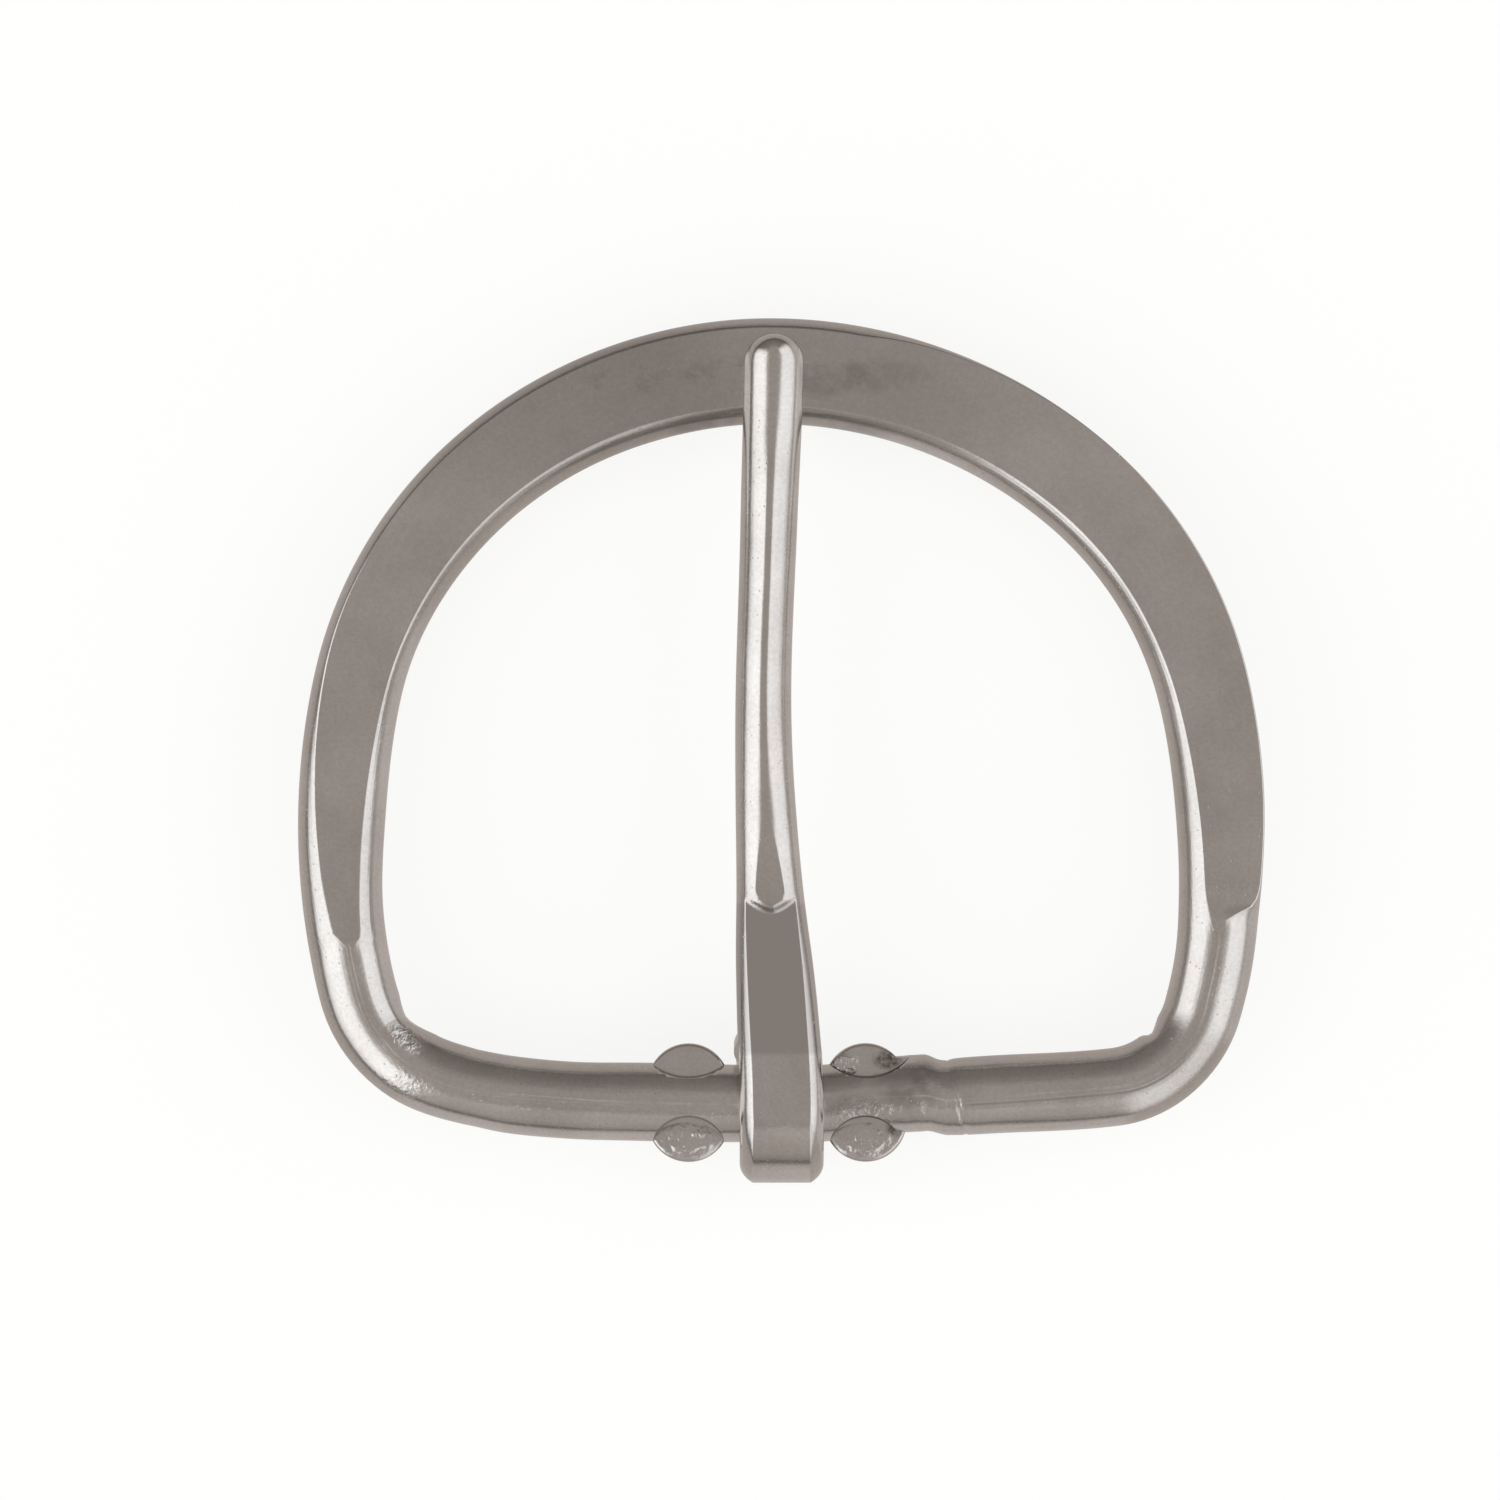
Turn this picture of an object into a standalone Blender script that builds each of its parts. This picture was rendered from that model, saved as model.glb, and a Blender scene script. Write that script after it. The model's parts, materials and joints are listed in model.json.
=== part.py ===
# Heel-bar belt buckle for a 38 mm belt: a D of round steel wire, and the tongue that turns on it.
#
#   frame   one wire bent to a D and butt-welded on its straight side, the bar. The arch is forged
#           flat on both faces. Four ears pinched out of the bar keep the tongue in the middle.
#   tongue  one thinner wire. Its tail is flattened to a strap and wrapped round the bar.
#
# +Z is up and the buckle lies on its back: the bar runs along X and the arch points to +Y.
# Everything is modelled about the bar's axis and placed by the two objects' locations.

import math

import bmesh
import bpy
import numpy as np

MM = 0.001

# Frame wire and the D that it is bent to
WIRE = 4.0 * MM               # wire diameter, untouched on the bar and the corners
ARCH_HEIGHT = 38.05 * MM      # bar axis to arch centreline
CLOSE_X = -0.6 * MM           # where the two halves of the D meet, arch top and bar middle
# Each half from the arch top to the bar: turn and radius of the bends. The first and last radii
# are None: they are worked out so that the half closes on the bar axis.
RIGHT_BENDS = [(40.5, None), (35.0, 20.1 * MM), (29.0, 33.9 * MM), (69.5, 5.3 * MM), (6.0, None)]
LEFT_BENDS = [(41.0, None), (35.0, 20.5 * MM), (28.0, 33.4 * MM), (70.5, 6.8 * MM), (5.5, None)]

# Forging of the arch, by distance along the wire from the arch top
FLARE = 1.4 * MM              # how much wider than the wire the arch is beaten
FLARE_START = 8.0 * MM
FACET_END = 42.0 * MM         # the flat faces run out here, on both sides
FLARE_END = 46.0 * MM
FACET_DEPTH = 0.62 * MM       # metal flattened off each face over the upper arch
FACET_STEP = 0.18 * MM        # of which this much comes at once, within FACET_STEP_RUN
FACET_STEP_RUN = 2.3 * MM
FACET_RUN = 18.0 * MM
ROUND = 2.0                   # superellipse power of a round flank
OUTER_RIGHT, OUTER_LEFT = 3.1, 2.4    # the outer flank is squarer, more so on the right
INNER_FLANK = 1.8             # the inner flank is fuller towards the middle

# Butt weld on the bar
WELD_X = 8.3 * MM             # the waist of the dressed joint
WELD_WAIST = 0.10 * MM
WELD_SWELL = 0.12 * MM        # the upset metal beside it
WELD_SWELL_X = 7.0 * MM

# Ears
EAR_X = (-4.83 * MM, 4.36 * MM)
EAR_REACH = 1.07 * MM         # beyond the wire
EAR_CHORD = 3.7 * MM
EAR_THICKNESS = 1.0 * MM
PUNCH_BITE = {1: 0.62 * MM, -1: 1.25 * MM}    # into the wire, on the arch side and outside

# Tongue
TONGUE_WIRE = 3.1 * MM
TONGUE_REACH = 39.85 * MM     # bar axis to tip
STRAP_THICKNESS = 2.0 * MM
SHOULDER = 10.1 * MM          # where the strap meets the round wire
SHOULDER_RUN = 0.5 * MM
NOSE = 1.45 * MM
RING_CLEARANCE = 0.1 * MM     # running fit round the bar
TAIL_GAP_ANGLE = 28.0         # the tail stops this far above the bar's arch side
TAIL_SHIFT = -0.3 * MM
# Along the tongue from the bar axis, in mm: strap and wire width, sideways bow, and height
# of the centreline over its height at the ring
WIDTH_AT = [(0, 4.35), (3, 4.3), (7, 4.02), (11.4, 3.43), (15.6, 3.1), (40, 3.1)]
BOW_AT = [(0, 0.0), (5, -0.23), (10, -0.55), (20, -0.95), (30, -0.67), (40, -0.39)]
RISE_AT = [(0, 0.0), (10, 0.0), (24, 0.2), (33, 0.1), (36.5, -0.12), (40, -0.14)]

# Where the bar axis lies in the finished part: the box is centred and the ring stands on Z = 0
RING_RADIUS = WIRE / 2 + RING_CLEARANCE + STRAP_THICKNESS / 2
BAR_Y = -18.3 * MM
BAR_Z = RING_RADIUS + STRAP_THICKNESS / 2

STEEL = (0.245, 0.228, 0.215, 1.0)


def smooth(t):
    """0 to 1 with no slope at either end."""
    t = np.clip(t, 0.0, 1.0)
    return t * t * (3 - 2 * t)


def through(points, t):
    """A soft curve through (place, value) points given in mm, read at t metres."""
    x = np.array([p[0] for p in points], float) * MM
    y = np.array([p[1] for p in points], float) * MM
    slope = np.gradient(y, x)
    slope[0] = slope[-1] = 0.0
    t = min(max(t, x[0]), x[-1])
    i = min(int(np.searchsorted(x, t, side="right")) - 1, len(x) - 2)
    run = x[i + 1] - x[i]
    u = (t - x[i]) / run
    return (y[i] * (1 - u) ** 2 * (1 + 2 * u) + y[i + 1] * u * u * (3 - 2 * u)
            + slope[i] * run * u * (1 - u) ** 2 - slope[i + 1] * run * u * u * (1 - u))


def close_bends(bends):
    """Radians and radii of a half D, with its first and last radii solved for."""
    turn = [math.radians(b[0]) for b in bends]
    ends = np.concatenate([[0.0], np.cumsum(turn)])
    s, c = np.sin(ends), np.cos(ends)
    mid = range(1, len(bends) - 1)
    run = sum(bends[i][1] * (s[i + 1] - s[i]) for i in mid)
    drop = sum(bends[i][1] * (c[i + 1] - c[i]) for i in mid)
    first, last = np.linalg.solve(
        [[s[1], s[-1] - s[-2]], [c[1] - 1.0, c[-1] - c[-2]]], [-run, -ARCH_HEIGHT - drop])
    return list(zip(turn, [first] + [bends[i][1] for i in mid] + [last]))


class WirePath:
    """The closed D, clockwise from the arch top, as a chain of tangent arcs."""

    def __init__(self):
        right, left = close_bends(RIGHT_BENDS), close_bends(LEFT_BENDS)
        self.half = sum(a * r for a, r in right)
        self.arcs, start, heading = [], np.array([CLOSE_X, ARCH_HEIGHT]), 0.0
        along = 0.0
        for angle, radius in right + left[::-1]:
            centre = start - radius * np.array([math.sin(heading), math.cos(heading)])
            self.arcs.append((along, angle * radius, radius, heading, centre))
            heading += angle
            start = centre + radius * np.array([math.sin(heading), math.cos(heading)])
            along += angle * radius
        self.length = along

    def at(self, s):
        """Place and outward direction at distance s."""
        for begin, length, radius, heading, centre in self.arcs:
            if s <= begin + length + 1e-12:
                break
        angle = heading + (s - begin) / radius
        out = np.array([math.sin(angle), math.cos(angle)])
        return centre + radius * out, out, radius

    def from_top(self, s):
        """Distance from the arch top, and 1 on the right half or -1 on the left."""
        if s <= self.half:
            return s, 1
        return self.length - s, -1

    def bar_point(self, x):
        """The point of the bar at x."""
        near = [self.at(s)[0] for s in np.linspace(self.half - 0.02, self.half + 0.02, 801)]
        return min(near, key=lambda p: abs(p[0] - x) + (p[1] > WIRE))


def section(width, height, flat, outer, inner, steps):
    """Closed section: superelliptic flanks, cut off flat at +flat and -flat.

    Points run from the outer flank over the top to the inner flank and back below.
    """
    reach = math.asin(flat / height)
    flank = [reach * (2 * k / steps - 1) for k in range(steps + 1)]

    def side(angle, power):
        part = abs(math.sin(angle)) ** power
        return width / 2 * (1 - part) ** (1 / power), height * math.sin(angle)

    ring = [side(a, outer) for a in flank]
    back = [(-u, v) for u, v in (side(a, inner) for a in reversed(flank))]
    top = ((ring[-1][0] + back[0][0]) / 2, flat)
    bottom = ((ring[0][0] + back[-1][0]) / 2, -flat)
    return ring + [top] + back + [bottom]


def frame_section(path, s):
    """Section of the frame wire at distance s, as (outward, up) pairs."""
    far, side = path.from_top(s)
    t = np.clip((far - FLARE_START) / (FLARE_END - FLARE_START), 0.0, 1.0)
    width = WIRE + FLARE * (1 - t ** 1.3)
    inside = FACET_END - far
    depth = (FACET_STEP * smooth(inside / FACET_STEP_RUN)
             + (FACET_DEPTH - FACET_STEP) * smooth(inside / FACET_RUN))
    height = WIRE / 2
    flat = min(height - depth, 0.993 * height)
    forged = smooth(inside / FACET_RUN)
    place = path.at(s)[0]
    lean = 0.5 + 0.5 * np.clip(place[0] / (15 * MM), -1, 1)
    outer = OUTER_LEFT + (OUTER_RIGHT - OUTER_LEFT) * lean
    outer = ROUND + (outer - ROUND) * forged
    inner = ROUND + (INNER_FLANK - ROUND) * forged
    grow = 0.0
    if place[1] < WIRE:
        grow = (WELD_SWELL * math.exp(-((place[0] - WELD_SWELL_X) / (0.6 * MM)) ** 2)
                - WELD_WAIST * math.exp(-((place[0] - WELD_X) / (0.5 * MM)) ** 2))
    scale = 1 + grow / height
    return section(width * scale, height * scale, flat * scale, outer, inner, 8)


def frame_spacing(path, s):
    """How far apart the sections stand near s."""
    place, _, radius = path.at(s)
    far, _ = path.from_top(s)
    gap = min(radius * math.radians(7.5), 2.3 * MM)
    if abs(far - FACET_END + 1.5 * MM) < 3.0 * MM:
        gap = min(gap, 0.9 * MM)
    if place[1] < WIRE and abs(place[0] - WELD_X + 0.4 * MM) < 1.9 * MM:
        gap = min(gap, 0.42 * MM)
    return gap


def spread(length, spacing):
    """Distances from 0 to length, as close together as spacing() asks."""
    fine = np.linspace(0.0, length, 3000)
    count = np.concatenate([[0.0], np.cumsum(np.diff(fine) / [spacing(s) for s in fine[1:]])])
    number = int(math.ceil(count[-1]))
    return np.interp(np.linspace(0.0, count[-1], number + 1), count, fine)


def loft(name, rings, closed):
    """A mesh object lofted through rings of points."""
    bm = bmesh.new()
    loops = [[bm.verts.new(p) for p in ring] for ring in rings]
    pairs = list(zip(loops, loops[1:]))
    if closed:
        pairs.append((loops[-1], loops[0]))
    for a, b in pairs:
        for k in range(len(a)):
            n = (k + 1) % len(a)
            bm.faces.new((a[k], a[n], b[n], b[k]))
    if not closed:
        bm.faces.new(loops[0])
        bm.faces.new(loops[-1])
    bmesh.ops.recalc_face_normals(bm, faces=bm.faces)
    mesh = bpy.data.meshes.new(name)
    bm.to_mesh(mesh)
    bm.free()
    mesh.shade_smooth()
    mesh.set_sharp_from_angle(angle=math.radians(24))
    return bpy.data.objects.new(name, mesh)


def cylinder(name, radius, low, high, x, y):
    """An upright cylinder between two heights."""
    bm = bmesh.new()
    bmesh.ops.create_cone(bm, cap_ends=True, segments=40, radius1=radius, radius2=radius,
                          depth=high - low)
    mesh = bpy.data.meshes.new(name)
    bm.to_mesh(mesh)
    bm.free()
    obj = bpy.data.objects.new(name, mesh)
    obj.location = (x, y, (low + high) / 2)
    return obj


def arc_radius(chord, rise):
    return (chord * chord / 4 + rise * rise) / (2 * rise)


def steel(name, roughness):
    mat = bpy.data.materials.new(name)
    mat.use_nodes = True
    bsdf = mat.node_tree.nodes["Principled BSDF"]
    bsdf.inputs["Base Color"].default_value = STEEL
    bsdf.inputs["Metallic"].default_value = 1.0
    bsdf.inputs["Roughness"].default_value = roughness
    mat.diffuse_color = STEEL
    return mat


def build_frame(parts, cutters, place):
    path = WirePath()
    rings = []
    for s in spread(path.length, lambda d: frame_spacing(path, d))[:-1]:
        centre, out, _ = path.at(s)
        rings.append([(centre[0] + u * out[0], centre[1] + u * out[1], v)
                      for u, v in frame_section(path, s)])
    frame = loft("frame", rings, closed=True)
    parts.objects.link(frame)
    frame.location = place

    # Ears: a round blank joined to each flank, then a round-nosed punch bites into the wire
    # above and below it.
    half = EAR_THICKNESS / 2
    blank = arc_radius(EAR_CHORD, EAR_REACH)
    tools = []
    for x in EAR_X:
        bar_y = path.bar_point(x)[1]
        for side in (1, -1):
            edge = bar_y + side * WIRE / 2
            tag = f"{'left' if x < 0 else 'right'}_{'inner' if side > 0 else 'outer'}"
            tools.append((cylinder(f"ear_{tag}", blank, -half, half,
                                   x, edge + side * (EAR_REACH - blank)), "UNION"))
    for x in EAR_X:
        bar_y = path.bar_point(x)[1]
        for side in (1, -1):
            edge = bar_y + side * WIRE / 2
            bite = PUNCH_BITE[side]
            punch = arc_radius(EAR_CHORD, bite)
            tag = f"{'left' if x < 0 else 'right'}_{'inner' if side > 0 else 'outer'}"
            for level, (low, high) in {"top": (half, 3 * MM), "back": (-3 * MM, -half)}.items():
                tools.append((cylinder(f"punch_{tag}_{level}", punch, low, high,
                                       x, edge + side * (punch - bite)), "DIFFERENCE"))
    for tool, operation in tools:
        cutters.objects.link(tool)
        tool.location.x += place[0]
        tool.location.y += place[1]
        tool.location.z += place[2]
        tool.hide_render = True
        tool.display_type = "WIRE"
        cut = frame.modifiers.new(tool.name, "BOOLEAN")
        cut.operation = operation
        cut.solver = "EXACT"
        cut.object = tool
    frame.data.materials.append(steel("frame_steel", 0.28))
    return frame


def tongue_section(s):
    """Section of the tongue at distance s from the bar axis, negative round the ring."""
    width = through(WIDTH_AT, s)
    height = TONGUE_WIRE / 2
    pressed = 1 - smooth((s - SHOULDER) / SHOULDER_RUN + 0.5)
    flat = 0.993 * height * (1 - pressed) + STRAP_THICKNESS / 2 * pressed
    nose = s - (TONGUE_REACH - NOSE)
    if nose > 0:
        shrink = math.sqrt(max(1 - (nose / NOSE) ** 2, 0.0))
        width, height, flat = width * shrink, height * shrink, flat * shrink
    return section(width, height, flat, ROUND, ROUND, 8)


def build_tongue(parts, place):
    # Round the bar from the tail: under the strap, down the arch side, below the bar and up
    # outside it, to leave over the top.
    begin, end = math.radians(360 + TAIL_GAP_ANGLE), math.radians(90)
    rings = []
    for angle in np.linspace(begin, end, 27)[:-1]:
        s = -(angle - end) * RING_RADIUS
        out = np.array([math.cos(angle), math.sin(angle)])
        shift = TAIL_SHIFT * smooth((angle - math.radians(250)) / math.radians(110))
        rings.append([(shift + u, (RING_RADIUS + v) * out[0], (RING_RADIUS + v) * out[1])
                      for u, v in tongue_section(s)])
    # Then straight to the tip, closer together at the shoulder, the bend and the nose.
    stops = [0.0, 2.0, 4.0, 6.0, 8.0, 9.8, 9.95, 10.1, 10.25, 10.4, 12.0, 14.0, 16.5, 20.0, 24.0,
             28.0, 31.0, 33.5, 35.0, 36.5, 38.4]
    nose = [TONGUE_REACH - NOSE + NOSE * math.sin(math.radians(a)) for a in (20, 38, 54, 68, 79)]
    for s in [stop * MM for stop in stops] + nose:
        x, z = through(BOW_AT, s), RING_RADIUS + through(RISE_AT, s)
        rings.append([(x + u, s, z + v) for u, v in tongue_section(s)])
    tongue = loft("tongue", rings, closed=False)
    parts.objects.link(tongue)
    tongue.location = place
    tongue.data.materials.append(steel("tongue_steel", 0.25))
    return tongue


def main():
    for obj in list(bpy.data.objects):
        bpy.data.objects.remove(obj, do_unlink=True)
    scene = bpy.context.scene
    scene.unit_settings.system = "METRIC"
    parts = bpy.data.collections.new("heel_bar_buckle")
    cutters = bpy.data.collections.new("cutters")
    scene.collection.children.link(parts)
    scene.collection.children.link(cutters)
    place = (0.0, BAR_Y, BAR_Z)
    build_frame(parts, cutters, place)
    build_tongue(parts, place)


main()
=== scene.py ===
import json
import math

import bpy
import numpy as np
from mathutils import Matrix, Vector, noise


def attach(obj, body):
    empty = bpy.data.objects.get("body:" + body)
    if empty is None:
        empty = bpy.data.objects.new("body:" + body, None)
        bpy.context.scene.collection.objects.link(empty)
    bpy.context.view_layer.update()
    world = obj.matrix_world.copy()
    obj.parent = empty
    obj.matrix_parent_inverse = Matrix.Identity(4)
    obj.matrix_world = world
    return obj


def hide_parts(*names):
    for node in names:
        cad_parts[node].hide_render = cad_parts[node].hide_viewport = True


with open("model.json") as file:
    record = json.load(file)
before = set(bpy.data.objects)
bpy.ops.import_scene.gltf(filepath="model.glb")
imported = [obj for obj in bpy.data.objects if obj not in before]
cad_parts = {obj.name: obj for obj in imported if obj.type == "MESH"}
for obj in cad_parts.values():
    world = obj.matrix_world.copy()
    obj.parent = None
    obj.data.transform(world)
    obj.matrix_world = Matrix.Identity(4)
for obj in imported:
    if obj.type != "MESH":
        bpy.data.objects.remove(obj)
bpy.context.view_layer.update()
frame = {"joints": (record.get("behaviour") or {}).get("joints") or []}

barAxis = Vector(frame["joints"][0]["pos_m"])     # the tongue swings on the middle of the bar
mm = 0.001
print("frame loaded, bar axis at", [round(v / mm, 2) for v in barAxis], "mm")


def setMode(mode):
    if bpy.context.object and bpy.context.object.mode != mode:
        bpy.ops.object.mode_set(mode=mode)


def deselectAll():
    setMode("OBJECT")
    bpy.ops.object.select_all(action="DESELECT")


def onlySelect(piece):
    deselectAll()
    piece.select_set(True)
    bpy.context.view_layer.objects.active = piece


def newCircle(name, sides, radius, place, turn):
    # a bare ring of edges, standing where the wire starts
    deselectAll()
    bpy.ops.mesh.primitive_circle_add(vertices=sides, radius=radius, location=place, rotation=turn)
    piece = bpy.context.object
    piece.name = name
    bpy.ops.object.transform_apply(location=True, rotation=True, scale=True)
    setMode("EDIT")
    bpy.ops.mesh.select_all(action="SELECT")
    return piece


def readPoints(piece):
    flat = np.empty(len(piece.data.vertices) * 3)
    piece.data.vertices.foreach_get("co", flat)
    return flat.reshape(-1, 3)


def writePoints(piece, points):
    piece.data.vertices.foreach_set("co", np.ascontiguousarray(points, dtype=np.float64).ravel())
    piece.data.update()


def applyAll(piece):
    onlySelect(piece)
    for modifier in list(piece.modifiers):
        bpy.ops.object.modifier_apply(modifier=modifier.name)


def smooth(t):
    t = np.clip(t, 0.0, 1.0)
    return t * t * (3 - 2 * t)


def softCurve(points, t):
    # a soft line through (place, value) pairs
    x = np.array([p[0] for p in points], float)
    y = np.array([p[1] for p in points], float)
    slope = np.gradient(y, x)
    slope[0] = slope[-1] = 0.0
    t = np.clip(t, x[0], x[-1])
    i = np.clip(np.searchsorted(x, t, side="right") - 1, 0, len(x) - 2)
    run = x[i + 1] - x[i]
    u = (t - x[i]) / run
    return (y[i] * (1 - u) ** 2 * (1 + 2 * u) + y[i + 1] * u * u * (3 - 2 * u)
            + slope[i] * run * u * (1 - u) ** 2 - slope[i + 1] * run * u * u * (1 - u))


def halfSection(sides, wides, high, edges, powers, soft):
    # The upper half of a forged wire's section, from its outer side over the top to its inner
    # side: a rounded flank, a flat between the two edge heights, and the other flank.
    part = sides // 6
    second = 2.2                                 # second step from an edge, against the first
    flankLimit, flatLimit = 0.08, 0.12           # the longest first steps
    flanks, corners = [], []
    for wide, edge, power in zip(wides, edges, powers):
        reach = math.asin(min(edge / high, 1.0))
        near = min(soft / (reach * high), flankLimit)
        steps = np.append(np.linspace(0, 1 - second * near, part - 1), [1 - near, 1.0])
        angle = steps * reach
        u = wide * (1 - np.sin(angle) ** power) ** (1 / power)
        flanks.append((u, high * np.sin(angle)))
        corners.append((u[-1], high * math.sin(reach)))
    across = corners[0][0] + corners[1][0]
    near = min(soft / across, flatLimit)
    steps = np.concatenate([[0, near], np.linspace(second * near, 1 - second * near, part - 3),
                            [1 - near, 1]])
    flatU = corners[0][0] - steps * across
    flatV = corners[0][1] + steps * (corners[1][1] - corners[0][1])
    u = np.concatenate([flanks[0][0], flatU[1:-1], -flanks[1][0][::-1]])
    v = np.concatenate([flanks[0][1], flatV[1:-1], flanks[1][1][::-1]])
    for k in (part, 2 * part):        # take the sharpness off both edges of the flat
        u[k] = 0.5 * u[k] + 0.25 * (u[k - 1] + u[k + 1])
        v[k] = 0.5 * v[k] + 0.25 * (v[k - 1] + v[k + 1])
    return u, v


def wholeSection(u, v):
    # the lower half mirrors the upper one
    return np.concatenate([u, u[-2:0:-1]]), np.concatenate([v, -v[-2:0:-1]])


def runLines(piece, sides, along, around):
    # UVs in metres: along the wire and round it, so that drawn lines follow every bend
    mesh = piece.data
    layer = mesh.uv_layers.new(name="alongWire")
    corner = np.empty(len(mesh.loops), dtype=np.int64)
    mesh.loops.foreach_get("vertex_index", corner)
    ring, k = corner // sides, corner % sides
    face = np.repeat(np.arange(len(mesh.polygons)), [p.loop_total for p in mesh.polygons])
    # the faces that close the round end a turn on, not back at nought
    highest = np.zeros(len(mesh.polygons), dtype=np.int64)
    np.maximum.at(highest, face, k)
    k = np.where((highest[face] == sides - 1) & (k == 0), sides, k)
    uv = np.stack([along[ring], k / sides * around], axis=1)
    layer.data.foreach_set("uv", uv.ravel())


def hexColour(code):
    # sRGB hex to linear
    values = [int(code[i:i + 2], 16) / 255 for i in (1, 3, 5)]
    return [v / 12.92 if v <= 0.04045 else ((v + 0.055) / 1.055) ** 2.4 for v in values] + [1.0]


def addNode(tree, kind, settings=None, links=None, give=0):
    # settings go by socket name or number, or are the node's own; links join other outputs
    node = tree.nodes.new("ShaderNode" + kind)
    for key, value in (settings or {}).items():
        if isinstance(key, int) or key in node.inputs:
            node.inputs[key].default_value = value
        else:
            setattr(node, key, value)
    for key, source in (links or {}).items():
        tree.links.new(source, node.inputs[key])
    return node.outputs[give]


steelLook = {
    "bright": "#d8d4d1", "dull": "#c4bfbb",        # clean and slightly darker steel
    # dark colour for stains, pits and scratches, and for painted shade and painted darker
    # reflection
    "stainAndShadeColour": "#5c544f",
    "cloudSize": 4.0 * mm,
    "specks": 0.2 * mm,            # coarser than the real peening, so that it shows
    "waveSize": 1.9 * mm, "waveDepth": 0.02 * mm,
    "grainSize": 0.13 * mm, "grainDepth": 0.0032 * mm,
    "lineWidth": 0.18 * mm, "lineLength": 8.0 * mm,
    "pitSpacing": 0.36 * mm, "pitRadius": 0.055 * mm, "pitDepth": 0.008 * mm,
    "pitFloor": 0.3,               # part of the radius that is flat
    "pitCells": (0.4, 0.45),       # a cell has a pit above this chance
    "pitTone": 0.3,
    # the noise levels that count as dull and as bright, and the share in the tone
    "tone": {"cloud": (0.35, 0.65, 0.5), "specks": (0.36, 0.64, 0.38), "lines": (0.3, 0.7, 0.12)},
    "stainAndShadeLevels": (0.25, 0.65),
    "scratchTone": 0.22, "scratchCore": 0.2, "scratchFades": (1.5, 0.5),     # fades in mm
    "strapFade": 0.25,             # mm
    "roughLevels": (0.3, 0.7), "roughSpread": (-0.03, 0.05),
}


def patchAt(tree, where, centre, reach):
    # 1 in the inner half of an ellipsoid, fading to 0 at its skin; places in mm
    moved = addNode(tree, "Mapping",
                    {"vector_type": "TEXTURE", "Location": [c * mm for c in centre],
                     "Scale": [r * mm for r in reach]}, {"Vector": where})
    far = addNode(tree, "VectorMath", {"operation": "LENGTH"}, {0: moved}, "Value")
    return addNode(tree, "MapRange", {"From Min": 1.0, "From Max": 0.5}, {"Value": far})


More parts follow.
